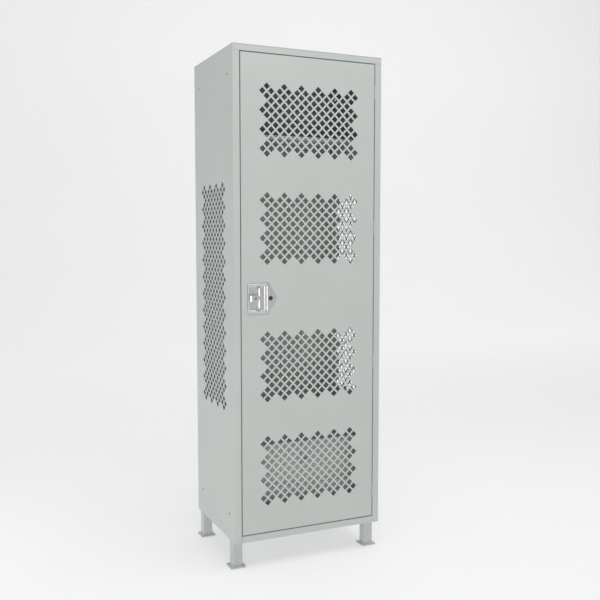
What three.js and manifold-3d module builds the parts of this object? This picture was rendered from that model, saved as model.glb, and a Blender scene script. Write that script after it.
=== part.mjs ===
// Single-door steel gear locker on four legs, in millimetres, +Z up.
// The origin is on the floor, at the middle of the overall footprint. The door faces -Y.
// The body group has its own corner frame: x from the left side, y back from the front plane
// and z up from the underside of the body.
import * as THREE from "three";
import { mergeVertices } from "three/addons/utils/BufferGeometryUtils.js";
import Module from "manifold-3d";

const wasm = await Module();
wasm.setup();

// ---- Body ----
const WIDTH = 609.6;
const DEPTH = 457.2;
const HEIGHT = 1828.8;
const SHEET = 1.5; // cabinet sheet steel
const SEAM = 0.3; // gap left between pieces that touch
const JOIN = 1; // how far joined pieces run into each other
const CIRCLE_SEGMENTS = 8; // a circle has twice as many sides

// ---- Legs ----
const LEG_SIDE = 38.1; // square tube
const LEG_WALL = 2.5;
const LEG_HEIGHT = 101.6;
const LEG_SIDE_INSET = 5;
const LEG_FRONT_INSET = 40;
const LEG_BACK_INSET = 18;
const FOOT_PLATE_SIDE = 60;
const FOOT_PLATE_THICKNESS = 4.8;

// ---- Door frame ----
const POST_FACE = 26.6;
const TOP_RAIL_FACE = 24.2;
const BOTTOM_RAIL_FACE = 25.4;
const FRAME_FLANGE = 30; // flanges that lie along the side, top and bottom panels
const STRIKE_WIDTH = 13.4;

// ---- Door ----
const DOOR_GAP = 3.2; // all round the door
const DOOR_SHEET = 2;
const DOOR_DEPTH = 20;
const BUMPER_ROOM = 2.5; // door's rear edge to the strike
const DOOR_LIP = 22; // lips turned in along the door's rear edge
const STIFFENER_WIDTH = 30;
const STIFFENER_EDGE = 30; // door edge to the stiffener

// ---- Perforations: four diamond punches make one cluster ----
const PUNCH_SHARE = 0.735; // diamond's tip-to-tip size over the spacing of diamonds in a row
const DOOR_STEP = 17.3; // half the spacing of diamonds in a row
const DOOR_FIELD_MARGIN = 70.5; // blank door at each side of a field
const DOOR_END_BAND = 101.5; // blank door above the top field and below the bottom one
const DOOR_MID_BAND = 125.8; // blank door between the fields of one half
const DOOR_LOCK_BAND = 244.6; // blank door at the lock
const SIDE_STEP_Y = 18.27;
const SIDE_STEP_Z = 16.79;
const SIDE_MARGIN_Y = 86.4; // blank side in front of its field and behind it
const SIDE_MARGIN_Z = 481.5; // blank side below its field and above it

// ---- Holes for bolting lockers side by side ----
const BOLT_HOLE_R = 4.5;
const BOLT_HOLE_END = 100; // from the body's top and bottom
const BOLT_HOLE_FRONT = 60;
const BOLT_HOLE_BACK = 66;

// ---- Door hinges ----
const HINGE_LENGTH = 50.8;
const HINGE_END = 105.4; // door's end to the centre of its end hinge
const HINGE_MIDDLE = 261; // door's middle to the centre of an inner hinge
const HINGE_AXIS_Y = -1;
const LEAF_BACK_ROOM = 2; // door's rear edge to the leaf's edge
const KNUCKLES = 5;
const KNUCKLE_R = 3;
const KNUCKLE_GAP = 0.3;
const PIN_R = 1.45;
const PIN_CLEARANCE = 0.05;
const HINGE_NOTCH = 0.4; // clearance of the notches around the knuckles
const KNUCKLE_SEGMENTS = 6; // a circle has twice as many sides

// ---- Recessed lock ----
const CUP_EDGE = 22.2; // door's edge to the face plate
const CUP_HALF = 60.5; // half the face plate's height
const CUP_SHOULDER = 84; // face plate's straight length
const CUP_LENGTH = 118; // face plate's length to its point
const CUP_SHEET = 1.5;
const CUP_CORNER_R = 14;
const POCKET_START = 4; // face plate's edge to the pocket's inside
const POCKET_LENGTH = 73;
const POCKET_HALF = 47;
const POCKET_FLOOR = 1.2;
const POCKET_BACK_ROOM = 1; // pocket to the latch bar
const RIM_WIDTH = 4.5;
const RIM_HEIGHT = 1.5;
const PLUG_AT = 92; // face plate's edge to the plug's centre
const PLUG_R = 8.5;
const PLUG_HOLE_R = 6.5;

// ---- Latch ----
const LIFT_TRAVEL = 8;
const BAR_EDGE = 10.2; // door's edge to the bar
const BAR_WIDTH = 12;
const BAR_THICKNESS = 2;
const BAR_BACK_ROOM = 2.3; // bar to the door's rear lip
const BAR_END = 100; // door's end to the bar's end
const FINGER_REACH = 6.8; // how far a finger stands out beside the bar
const FINGER_HEIGHT = 14;
const FINGER_SHEET = 2;
const FINGER_CLEARANCE = 1; // a keeper's top to its finger
const BAR_ARM_HALF = 10;
const KEEPER_END = 280; // door's end to an end keeper
const KEEPER_LOCK_RISE = 60;
const KEEPER_ARM_HEIGHT = 10;
const KEEPER_ARM_WIDTH = 3;
const KEEPER_REACH = 8; // front plane to the keeper's nose
const KEEPER_PLATE = 30;
const KEEPER_SHEET = 1.3;
const KEEPER_SLOT = 2; // clearance in the door's rear lip
const GUIDE_END = 180;
const GUIDE_LOCK_DROP = 110;
const GUIDE_HEIGHT = 14;
const GUIDE_WALL = 1.9;
const GUIDE_CLEARANCE = 0.5;
const HANDLE_HALF = 38;
const HANDLE_WIDTH = 15;
const HANDLE_AT = 45; // face plate's edge to the handle
const HANDLE_DEPTH = 1.5;
const HANDLE_SHEET = 2.5;
const EAR_LENGTH = 23;
const EAR_HALF = 8;
const EYE_HALF = 5; // half the height of the padlock eye
const EYE_LENGTH = 14;
const STAPLE_HALF = 12;
const STAPLE_START = 8.5; // face plate's edge to the staple
const STAPLE_LENGTH = 35.5;
const STAPLE_SHEET = 1.7;
const STAPLE_FOOT = 5.5;
const STAPLE_END_R = 10.8;
const STAPLE_CORNER_R = 2;
const EYE_EASE = 1; // how much larger the staple's eye is all round
const STEM_WIDTH = 4;
const STEM_HALF = 8;

// ---- Hat shelf and coat hooks ----
const SHELF_DROP = 304.8; // top of the body to the shelf
const SHELF_SETBACK = 85;
const SHELF_FLANGE = 17;
const SHELF_HEM = 12;
const HOOK_DROP = 110; // shelf to the coat hooks
const HOOK_REACH = 28;
const HOOK_HEIGHT = 38;
const HOOK_TIP = 23;
const HOOK_SHEET = 3;
const HOOK_WIDTH = 14;

// ---- Foot locker in the bottom ----
const LOCKER_HEIGHT = 354; // body's underside to the top of the lid
const LOCKER_SETBACK = 45;
const LID_OVERHANG = 3;
const LID_FLANGE = 26;
const LID_SIDE_GAP = 1.5;
const LID_REST_GAP = 1;
const LEDGE_WIDTH = 44; // fixed strip behind the lid
const LEDGE_FLANGE = 14;
const GROOVE_TOP = 198;
const GROOVE_HEIGHT = 14;
const GROOVE_DEPTH = 6;
const RETURN_FLANGE = 15;
const LID_HINGE_INSET = 90; // side to the near end of a lid hinge
const LID_LEAF = 1.5;
const LID_LEAF_WIDTH = 25;
const LUG_WIDTH = 38;
const LUG_SHEET = 1.8;
const LUG_DROP = 73; // lid's top to where the two padlock lugs meet
const LUG_REACH = 16;
const LUG_HOLE_R = 4.5;
const LUG_PLATE = 32;

// ---- Rubber bumpers ----
const BUMPER_R = 5;
const BUMPER_END = 150; // door's end to a bumper

// ---- Places worked out from the sizes above ----
const strikeDepth = DOOR_DEPTH + BUMPER_ROOM; // front plane to the face that the door shuts against
const barDepth = DOOR_DEPTH - SHEET - BAR_BACK_ROOM - BAR_THICKNESS; // front plane to the bar
const barBack = barDepth + BAR_THICKNESS;
const pocketDepth = barDepth - POCKET_BACK_ROOM - POCKET_FLOOR; // front plane to the pocket's floor
const leafDepth = DOOR_DEPTH - HINGE_AXIS_Y - LEAF_BACK_ROOM; // pin to the leaf's edge
const lugMeet = LOCKER_HEIGHT - LUG_DROP;
const doorLeft = POST_FACE + DOOR_GAP;
const doorRight = WIDTH - doorLeft;
const doorBottom = BOTTOM_RAIL_FACE + DOOR_GAP;
const doorTop = HEIGHT - TOP_RAIL_FACE - DOOR_GAP;
const doorMiddle = (doorBottom + doorTop) / 2;
const hingeX = WIDTH - POST_FACE - DOOR_GAP / 2;
const hingeHeights = [
  doorBottom + HINGE_END,
  doorMiddle - HINGE_MIDDLE,
  doorMiddle + HINGE_MIDDLE,
  doorTop - HINGE_END,
];
const hingeProud = KNUCKLE_R - HINGE_AXIS_Y;
const cupLeft = doorLeft + CUP_EDGE;
const inner = SHEET + SEAM; // inner face of a side panel, with its seam
const shelfTop = HEIGHT - SHELF_DROP;
const lidAxisY = DEPTH - inner - LEDGE_WIDTH;
const lidAxisZ = LOCKER_HEIGHT + SEAM + KNUCKLE_R;
const barX = doorLeft + BAR_EDGE;
const keeperHeights = [doorBottom + KEEPER_END, doorMiddle + KEEPER_LOCK_RISE, doorTop - KEEPER_END];
const keeperX = barX - FINGER_REACH;

// ---- Materials ----
const paint = new THREE.MeshStandardMaterial({ color: 0xbcc1bc, roughness: 0.5, metalness: 0.1 });
const stainless = new THREE.MeshStandardMaterial({ color: 0xc4c5c8, roughness: 0.3, metalness: 1 });
const zinc = new THREE.MeshStandardMaterial({ color: 0xa9adb0, roughness: 0.4, metalness: 1 });
const blackPlastic = new THREE.MeshStandardMaterial({ color: 0x3a3c3b, roughness: 0.6, metalness: 0 });
const rubber = new THREE.MeshStandardMaterial({ color: 0x26282a, roughness: 0.8, metalness: 0 });

// ---- Shapes ----
const points = (pairs) => pairs.map(([u, v]) => new THREE.Vector2(u, v));

function rectangle(u0, v0, u1, v1) {
  return new THREE.Shape(points([[u0, v0], [u1, v0], [u1, v1], [u0, v1]]));
}

function circle(u, v, radius) {
  return new THREE.Shape().absarc(u, v, radius, 0, Math.PI * 2);
}

// A polygon with each corner rounded by its own radius.
function roundedPolygon(corners) {
  const shape = new THREE.Shape();
  corners.forEach(([u, v, radius], i) => {
    const at = new THREE.Vector2(u, v);
    const before = new THREE.Vector2(...corners.at(i - 1));
    const after = new THREE.Vector2(...corners[(i + 1) % corners.length]);
    const start = at.clone().add(before.sub(at).setLength(radius));
    const end = at.clone().add(after.sub(at).setLength(radius));
    if (i === 0) shape.moveTo(start.x, start.y);
    else shape.lineTo(start.x, start.y);
    if (radius > 0) shape.quadraticCurveTo(u, v, end.x, end.y);
  });
  return shape.closePath();
}

// The section of a folded sheet: the fold line is its outer face, and the sheet lies to the left of it.
function foldedSheet(pairs, thickness) {
  const line = points(pairs);
  const leftOf = (a, b) => {
    const along = b.clone().sub(a).normalize();
    return new THREE.Vector2(-along.y, along.x);
  };
  const innerFace = line.map((at, i) => {
    const first = leftOf(line[Math.max(i - 1, 0)], line[Math.max(i, 1)]);
    const second = i < line.length - 1 ? leftOf(at, line[i + 1]) : first;
    const mitre = first.clone().add(second);
    return mitre.multiplyScalar(thickness / (1 + first.dot(second))).add(at);
  });
  return new THREE.Shape([...line, ...innerFace.reverse()]);
}

// ---- Extrusions along the three axes ----
const X = new THREE.Vector3(1, 0, 0);
const Y = new THREE.Vector3(0, 1, 0);
const Z = new THREE.Vector3(0, 0, 1);

function extrude(shape, depth, curveSegments) {
  return new THREE.ExtrudeGeometry(shape, { depth, bevelEnabled: false, curveSegments });
}

// A shape in (x, z), from y0 back to y1.
function alongY(shape, y0, y1, curveSegments = CIRCLE_SEGMENTS) {
  const turn = new THREE.Matrix4().makeBasis(X, Z, Y.clone().negate());
  return extrude(shape, y1 - y0, curveSegments).applyMatrix4(turn).translate(0, y1, 0);
}

// A shape in (y, z), from x0 to x1.
function alongX(shape, x0, x1, curveSegments = CIRCLE_SEGMENTS) {
  const turn = new THREE.Matrix4().makeBasis(Y, Z, X);
  return extrude(shape, x1 - x0, curveSegments).applyMatrix4(turn).translate(x0, 0, 0);
}

// A shape in (x, y), from z0 up to z1.
function alongZ(shape, z0, z1, curveSegments = CIRCLE_SEGMENTS) {
  return extrude(shape, z1 - z0, curveSegments).translate(0, 0, z0);
}

function box(x0, x1, y0, y1, z0, z1) {
  return new THREE.BoxGeometry(x1 - x0, y1 - y0, z1 - z0).translate(
    (x0 + x1) / 2,
    (y0 + y1) / 2,
    (z0 + z1) / 2,
  );
}

// ---- Joining and cutting ----
function solid(geometry) {
  const bare = geometry.clone();
  bare.deleteAttribute("normal");
  bare.deleteAttribute("uv");
  const merged = mergeVertices(bare);
  return new wasm.Manifold(
    new wasm.Mesh({
      numProp: 3,
      vertProperties: merged.attributes.position.array,
      triVerts: new Uint32Array(merged.index.array),
    }),
  );
}

function geometryOf(body) {
  const mesh = body.getMesh();
  const geometry = new THREE.BufferGeometry();
  geometry.setAttribute("position", new THREE.BufferAttribute(mesh.vertProperties, 3));
  geometry.setIndex(new THREE.BufferAttribute(mesh.triVerts, 1));
  geometry.computeVertexNormals();
  return geometry;
}

const join = (...pieces) => geometryOf(pieces.map(solid).reduce((a, b) => a.add(b)));
const cut = (from, ...tools) => geometryOf(tools.map(solid).reduce((a, b) => a.subtract(b), solid(from)));

// ---- The scene graph ----
const locker = new THREE.Group();
const body = new THREE.Group();
body.position.set(-WIDTH / 2, -(DEPTH - hingeProud) / 2, LEG_HEIGHT + FOOT_PLATE_THICKNESS);
locker.add(body);

function part(name, geometry, material = paint) {
  const mesh = new THREE.Mesh(geometry, material);
  mesh.name = name;
  body.add(mesh);
  return mesh;
}

// ---- Perforated fields ----
// Clusters stand in staggered rows, two steps apart, and fill the box from its middle.
// A cluster is cut as one diamond with the open area of its four punches.
function punchField(u0, v0, u1, v1, stepU, stepV) {
  const tipU = 2 * stepU * PUNCH_SHARE;
  const tipV = 2 * stepV * PUNCH_SHARE;
  const lastStep = (room, tip, step) => 4 * Math.floor(((room - tip) / step - 2) / 4) + 2;
  const columns = lastStep(u1 - u0, tipU, stepU);
  const rows = lastStep(v1 - v0, tipV, stepV);
  const startU = (u0 + u1 - columns * stepU) / 2;
  const startV = (v0 + v1 - rows * stepV) / 2;
  const punches = [];
  for (let row = 1; row < rows; row += 2) {
    for (let column = row % 4; column < columns; column += 4) {
      const u = startU + column * stepU;
      const v = startV + row * stepV;
      punches.push(new THREE.Shape(points([[u - tipU, v], [u, v - tipV], [u + tipU, v], [u, v + tipV]])));
    }
  }
  return punches;
}

// ---- Cabinet shell ----
function sidePanel(x0, x1) {
  const punches = punchField(
    SIDE_MARGIN_Y,
    SIDE_MARGIN_Z,
    DEPTH - SIDE_MARGIN_Y,
    HEIGHT - SIDE_MARGIN_Z,
    SIDE_STEP_Y,
    SIDE_STEP_Z,
  );
  for (const y of [BOLT_HOLE_FRONT, DEPTH - BOLT_HOLE_BACK]) {
    for (const z of [BOLT_HOLE_END, HEIGHT - BOLT_HOLE_END]) {
      punches.push(circle(y, z, BOLT_HOLE_R));
    }
  }
  return cut(box(x0, x1, 0, DEPTH, 0, HEIGHT - inner), alongX(punches, x0 - JOIN, x1 + JOIN));
}
part("left_side_panel", sidePanel(0, SHEET));
part("right_side_panel", sidePanel(WIDTH - SHEET, WIDTH));
part("back_panel", box(inner, WIDTH - inner, DEPTH - SHEET, DEPTH, 0, HEIGHT - inner));
part("top_panel", box(0, WIDTH, 0, DEPTH, HEIGHT - SHEET, HEIGHT));
part("bottom_panel", box(inner, WIDTH - inner, FRAME_FLANGE + SEAM, DEPTH - inner, 0, SHEET));

// ---- Door frame: folded posts and rails, and the strikes that the door shuts against ----
function postSection(outerX, towardsDoor) {
  const at = (distance) => outerX + towardsDoor * distance;
  const line = [
    [at(inner), FRAME_FLANGE],
    [at(inner), 0],
    [at(POST_FACE), 0],
    [at(POST_FACE), strikeDepth - SEAM],
  ];
  return foldedSheet(line, towardsDoor * SHEET);
}

// The room that a hinge's knuckles need in the door and in the post.
function hingeNotch(z) {
  const reach = KNUCKLE_R + HINGE_NOTCH;
  const half = HINGE_LENGTH / 2 + HINGE_NOTCH;
  return box(hingeX - reach, hingeX + reach, HINGE_AXIS_Y - reach, HINGE_AXIS_Y + reach, z - half, z + half);
}
const hingeNotches = hingeHeights.map(hingeNotch);

const postTop = HEIGHT - TOP_RAIL_FACE - SEAM;
part("left_frame_post", alongZ(postSection(0, 1), 0, postTop));
part("right_frame_post", cut(alongZ(postSection(WIDTH, -1), 0, postTop), ...hingeNotches));
const strikeOuter = POST_FACE - SHEET;
const strikeInner = POST_FACE + STRIKE_WIDTH;
const strikeBack = strikeDepth + SHEET;
part("left_door_strike", box(strikeOuter, strikeInner, strikeDepth, strikeBack, 0, postTop));
part("right_door_strike", box(WIDTH - strikeInner, WIDTH - strikeOuter, strikeDepth, strikeBack, 0, postTop));

const topRail = foldedSheet(
  [
    [FRAME_FLANGE, HEIGHT - inner],
    [0, HEIGHT - inner],
    [0, HEIGHT - TOP_RAIL_FACE],
    [strikeDepth, HEIGHT - TOP_RAIL_FACE],
    [strikeDepth, HEIGHT - TOP_RAIL_FACE - STRIKE_WIDTH],
  ],
  SHEET,
);
const bottomRail = foldedSheet(
  [
    [strikeDepth, BOTTOM_RAIL_FACE + STRIKE_WIDTH],
    [strikeDepth, BOTTOM_RAIL_FACE],
    [0, BOTTOM_RAIL_FACE],
    [0, 0],
    [FRAME_FLANGE, 0],
  ],
  SHEET,
);

// At their ends the rails are cut back from the posts' strikes.
const strikeEnd = strikeInner + SEAM;
function frameRail(section, end, cutTop) {
  const behindStrikes = box(0, WIDTH, strikeDepth - SEAM, DEPTH, -SHEET, cutTop);
  const full = cut(alongX(section, end, WIDTH - end), behindStrikes);
  return join(full, alongX(section, strikeEnd, WIDTH - strikeEnd));
}
part("top_frame_rail", frameRail(topRail, inner, postTop + SEAM));
part("bottom_frame_rail", frameRail(bottomRail, POST_FACE + SEAM, HEIGHT));

// ---- Legs: square tube welded on a floor plate ----
const legHalf = LEG_SIDE / 2;
const legPlaces = {
  front_left: [LEG_SIDE_INSET + legHalf, LEG_FRONT_INSET + legHalf],
  front_right: [WIDTH - LEG_SIDE_INSET - legHalf, LEG_FRONT_INSET + legHalf],
  rear_left: [LEG_SIDE_INSET + legHalf, DEPTH - LEG_BACK_INSET - legHalf],
  rear_right: [WIDTH - LEG_SIDE_INSET - legHalf, DEPTH - LEG_BACK_INSET - legHalf],
};

function leg() {
  const tube = rectangle(-legHalf, -legHalf, legHalf, legHalf);
  const bore = legHalf - LEG_WALL;
  tube.holes.push(rectangle(-bore, -bore, bore, bore));
  const plateHalf = FOOT_PLATE_SIDE / 2;
  const plateBottom = -LEG_HEIGHT - FOOT_PLATE_THICKNESS;
  const plate = box(-plateHalf, plateHalf, -plateHalf, plateHalf, plateBottom, -LEG_HEIGHT);
  return join(alongZ(tube, -LEG_HEIGHT - JOIN, -SEAM), plate);
}
for (const [place, [x, y]] of Object.entries(legPlaces)) {
  part(`leg_${place}`, leg()).position.set(x, y, 0);
}

// ---- Hat shelf ----
const shelfBack = DEPTH - inner;
const shelf = foldedSheet(
  [
    [shelfBack, shelfTop - SHELF_FLANGE],
    [shelfBack, shelfTop],
    [SHELF_SETBACK, shelfTop],
    [SHELF_SETBACK, shelfTop - SHELF_FLANGE],
    [SHELF_SETBACK + SHELF_HEM, shelfTop - SHELF_FLANGE],
  ],
  SHEET,
);
part("hat_shelf", alongX(shelf, inner, WIDTH - inner));

// ---- Coat hooks, one on each side wall ----
function coatHook() {
  const top = shelfTop - HOOK_DROP;
  const foot = top - HOOK_HEIGHT;
  const line = [
    [inner, top],
    [inner, foot],
    [inner + HOOK_REACH, foot],
    [inner + HOOK_REACH, foot + HOOK_TIP],
  ];
  return alongY(foldedSheet(line, HOOK_SHEET), (DEPTH - HOOK_WIDTH) / 2, (DEPTH + HOOK_WIDTH) / 2);
}
part("coat_hook_left", coatHook(), zinc);
const rightHook = part("coat_hook_right", coatHook(), zinc);
rightHook.rotation.z = Math.PI;
rightHook.position.set(WIDTH, DEPTH, 0);

// ---- Knuckled hinges ----
// A leaf in its own frame: the pin lies along z, and the leaf's plate runs along y, on whichever
// side `width` points to. `face` is the plate's low and high x. Knuckles are counted from below.
function hingeLeaf(length, face, width, isOwn) {
  const side = Math.sign(width);
  const clear = side * (KNUCKLE_R + HINGE_NOTCH);
  const pitch = length / KNUCKLES;
  const plateY = [clear, width].sort((a, b) => a - b);
  const tongueY = [0, clear + side].sort((a, b) => a - b);
  const pieces = [box(...face, ...plateY, -length / 2, length / 2)];
  for (let k = 0; k < KNUCKLES; k++) {
    if (!isOwn(k)) continue;
    const z0 = -length / 2 + k * pitch + KNUCKLE_GAP / 2;
    const z1 = z0 + pitch - KNUCKLE_GAP;
    pieces.push(alongZ(circle(0, 0, KNUCKLE_R), z0, z1, KNUCKLE_SEGMENTS));
    pieces.push(box(...face, ...tongueY, z0, z1));
  }
  const bore = alongZ(circle(0, 0, PIN_R + PIN_CLEARANCE), -length, length, KNUCKLE_SEGMENTS);
  return cut(join(...pieces), bore);
}
const hingePin = (length) => alongZ(circle(0, 0, PIN_R), -length / 2, length / 2, KNUCKLE_SEGMENTS);
const onFrame = (k) => k % 2 === 0;
const onLeafThatMoves = (k) => k % 2 === 1;

const leafOuter = DOOR_GAP / 2 - SEAM; // pin to the face that is welded on
const leafInner = SEAM; // pin to the face that the other leaf passes
const frameLeaf = hingeLeaf(HINGE_LENGTH, [leafInner, leafOuter], leafDepth, onFrame);
const doorLeaf = hingeLeaf(HINGE_LENGTH, [-leafOuter, -leafInner], leafDepth, onLeafThatMoves);
hingeHeights.forEach((z, i) => {
  const place = (mesh) => mesh.position.set(hingeX, HINGE_AXIS_Y, z);
  place(part(`hinge_frame_leaf_${i + 1}`, frameLeaf));
  place(part(`hinge_door_leaf_${i + 1}`, doorLeaf));
  place(part(`hinge_pin_${i + 1}`, hingePin(HINGE_LENGTH), zinc));
});

// ---- Foot locker: fixed front and rear ledge, hinged lid ----
const lidLow = LOCKER_HEIGHT - SHEET;
const frontTop = lidLow - LID_REST_GAP;
const frontFoot = SHEET + SEAM;
const lockerFront = foldedSheet(
  [
    [LOCKER_SETBACK + RETURN_FLANGE, frontTop],
    [LOCKER_SETBACK, frontTop],
    [LOCKER_SETBACK, GROOVE_TOP],
    [LOCKER_SETBACK + GROOVE_DEPTH, GROOVE_TOP],
    [LOCKER_SETBACK + GROOVE_DEPTH, GROOVE_TOP - GROOVE_HEIGHT],
    [LOCKER_SETBACK, GROOVE_TOP - GROOVE_HEIGHT],
    [LOCKER_SETBACK, frontFoot],
    [LOCKER_SETBACK + RETURN_FLANGE, frontFoot],
  ],
  SHEET,
);
part("footlocker_front", alongX(lockerFront, inner, WIDTH - inner));

const ledgeBack = DEPTH - inner;
const ledgeFront = lidAxisY + LID_SIDE_GAP;
const ledge = foldedSheet(
  [
    [ledgeBack, LOCKER_HEIGHT - LEDGE_FLANGE],
    [ledgeBack, LOCKER_HEIGHT],
    [ledgeFront, LOCKER_HEIGHT],
    [ledgeFront, LOCKER_HEIGHT - LEDGE_FLANGE],
  ],
  SHEET,
);
part("footlocker_ledge", alongX(ledge, inner, WIDTH - inner));

const lidFront = LOCKER_SETBACK - LID_OVERHANG;
const lid = foldedSheet(
  [
    [lidAxisY - LID_SIDE_GAP, LOCKER_HEIGHT],
    [lidFront, LOCKER_HEIGHT],
    [lidFront, LOCKER_HEIGHT - LID_FLANGE],
  ],
  SHEET,
);
part("footlocker_lid", alongX(lid, inner + LID_SIDE_GAP, WIDTH - inner - LID_SIDE_GAP));

// The lid's hinges lie flat on the lid and the ledge, with their pins along x.
const lidLeafFace = [-KNUCKLE_R, -KNUCKLE_R + LID_LEAF];
const ledgeLeaf = hingeLeaf(HINGE_LENGTH, lidLeafFace, LID_LEAF_WIDTH, onFrame);
const lidLeaf = hingeLeaf(HINGE_LENGTH, lidLeafFace, -LID_LEAF_WIDTH, onLeafThatMoves);
const lidHingeTurn = new THREE.Matrix4().makeBasis(Z, Y, X.clone().negate());
const lidHingeOffset = LID_HINGE_INSET + HINGE_LENGTH / 2;
[["left", lidHingeOffset], ["right", WIDTH - lidHingeOffset]].forEach(([side, x]) => {
  const place = (mesh) => {
    mesh.setRotationFromMatrix(lidHingeTurn);
    mesh.position.set(x, lidAxisY, lidAxisZ);
  };
  place(part(`lid_hinge_ledge_leaf_${side}`, ledgeLeaf, zinc));
  place(part(`lid_hinge_lid_leaf_${side}`, lidLeaf, zinc));
  place(part(`lid_hinge_pin_${side}`, hingePin(HINGE_LENGTH), zinc));
});

// Padlock lugs: an angle on the lid and one on the front, with their ears one above the other.
function padlockLug(faceY, plateZ, earZ) {
  const middle = WIDTH / 2;
  const plate = box(middle - LUG_WIDTH / 2, middle + LUG_WIDTH / 2, faceY - LUG_SHEET, faceY, ...plateZ);
  const ear = rectangle(middle - LUG_WIDTH / 2, faceY - LUG_REACH, middle + LUG_WIDTH / 2, faceY);
  const hole = circle(middle, faceY - LUG_REACH / 2 - LUG_SHEET / 2, LUG_HOLE_R);
  return cut(join(plate, alongZ(ear, ...earZ)), alongZ(hole, earZ[0] - JOIN, earZ[1] + JOIN));
}
const lidLugFace = lidFront - SEAM;
const lidLugTop = LOCKER_HEIGHT - SHEET;
part(
  "lid_padlock_lug",
  padlockLug(lidLugFace, [lugMeet + SEAM, lidLugTop], [lugMeet + SEAM, lugMeet + SEAM + LUG_SHEET]),
  zinc,
);
part(
  "footlocker_padlock_lug",
  padlockLug(LOCKER_SETBACK - SEAM, [lugMeet - LUG_PLATE, lugMeet], [lugMeet - LUG_SHEET, lugMeet]),
  zinc,
);

// ---- Door pan ----
const pocketLeft = cupLeft + POCKET_START;
const pocketRight = pocketLeft + POCKET_LENGTH;
const plugX = cupLeft + PLUG_AT;

function doorFace() {
  const bands = 2 * DOOR_END_BAND + 2 * DOOR_MID_BAND + DOOR_LOCK_BAND;
  const fieldHeight = (doorTop - doorBottom - bands) / 4;
  const left = doorLeft + DOOR_FIELD_MARGIN;
  const right = doorRight - DOOR_FIELD_MARGIN;
  const starts = [
    doorBottom + DOOR_END_BAND,
    doorMiddle - DOOR_LOCK_BAND / 2 - fieldHeight,
    doorMiddle + DOOR_LOCK_BAND / 2,
    doorTop - DOOR_END_BAND - fieldHeight,
  ];
  const punches = starts.flatMap((z) => punchField(left, z, right, z + fieldHeight, DOOR_STEP, DOOR_STEP));
  const around = CUP_SHEET + SEAM;
  punches.push(
    rectangle(
      pocketLeft - around,
      doorMiddle - POCKET_HALF - around,
      pocketRight + around,
      doorMiddle + POCKET_HALF + around,
    ),
  );
  punches.push(circle(plugX, doorMiddle, PLUG_HOLE_R + SEAM));
  const sheet = box(doorLeft, doorRight, 0, DOOR_SHEET, doorBottom, doorTop);
  return cut(sheet, alongY(punches, -JOIN, DOOR_SHEET + JOIN));
}

function doorFlanges() {
  const ring = rectangle(doorLeft, doorBottom, doorRight, doorTop);
  ring.holes.push(
    rectangle(doorLeft + DOOR_SHEET, doorBottom + DOOR_SHEET, doorRight - DOOR_SHEET, doorTop - DOOR_SHEET),
  );
  return alongY(ring, DOOR_SHEET - JOIN, DOOR_DEPTH);
}

function doorLips() {
  const ring = rectangle(doorLeft, doorBottom, doorRight, doorTop);
  ring.holes.push(
    rectangle(doorLeft + DOOR_LIP, doorBottom + DOOR_LIP, doorRight - DOOR_LIP, doorTop - DOOR_LIP),
  );
  for (const z of keeperHeights) {
    ring.holes.push(
      rectangle(
        keeperX - KEEPER_SLOT / 2,
        z - KEEPER_ARM_HEIGHT - KEEPER_SLOT,
        keeperX + KEEPER_ARM_WIDTH + KEEPER_SLOT / 2,
        z + KEEPER_SLOT,
      ),
    );
  }
  return alongY(ring, DOOR_DEPTH - SHEET, DOOR_DEPTH);
}
part("door_pan", cut(join(doorFace(), doorFlanges(), doorLips()), ...hingeNotches));

// ---- Door stiffener: a channel behind the face, near the hinges ----
const stiffenerRight = doorRight - STIFFENER_EDGE;
const stiffenerLeft = stiffenerRight - STIFFENER_WIDTH;
const stiffener = foldedSheet(
  [
    [stiffenerLeft, DOOR_SHEET + SEAM],
    [stiffenerLeft, DOOR_DEPTH - SHEET - SEAM],
    [stiffenerRight, DOOR_DEPTH - SHEET - SEAM],
    [stiffenerRight, DOOR_SHEET + SEAM],
  ],
  -SHEET,
);
part("door_stiffener", alongZ(stiffener, doorBottom + DOOR_LIP, doorTop - DOOR_LIP));

// ---- Recessed lock cup: face plate, raised rim and pocket ----
const plateFace = -SEAM - CUP_SHEET;
const handleX = cupLeft + HANDLE_AT;
const stemX = handleX + (HANDLE_WIDTH - STEM_WIDTH) / 2;

function pocketBlock(grow, y0, y1) {
  return box(
    pocketLeft - grow,
    pocketRight + grow,
    y0,
    y1,
    doorMiddle - POCKET_HALF - grow,
    doorMiddle + POCKET_HALF + grow,
  );
}

// The raised rim runs round the pocket's top, right and bottom.
function lockRim() {
  return box(
    pocketLeft - JOIN,
    pocketRight + RIM_WIDTH,
    plateFace - RIM_HEIGHT,
    -SEAM,
    doorMiddle - POCKET_HALF - RIM_WIDTH,
    doorMiddle + POCKET_HALF + RIM_WIDTH,
  );
}

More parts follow.
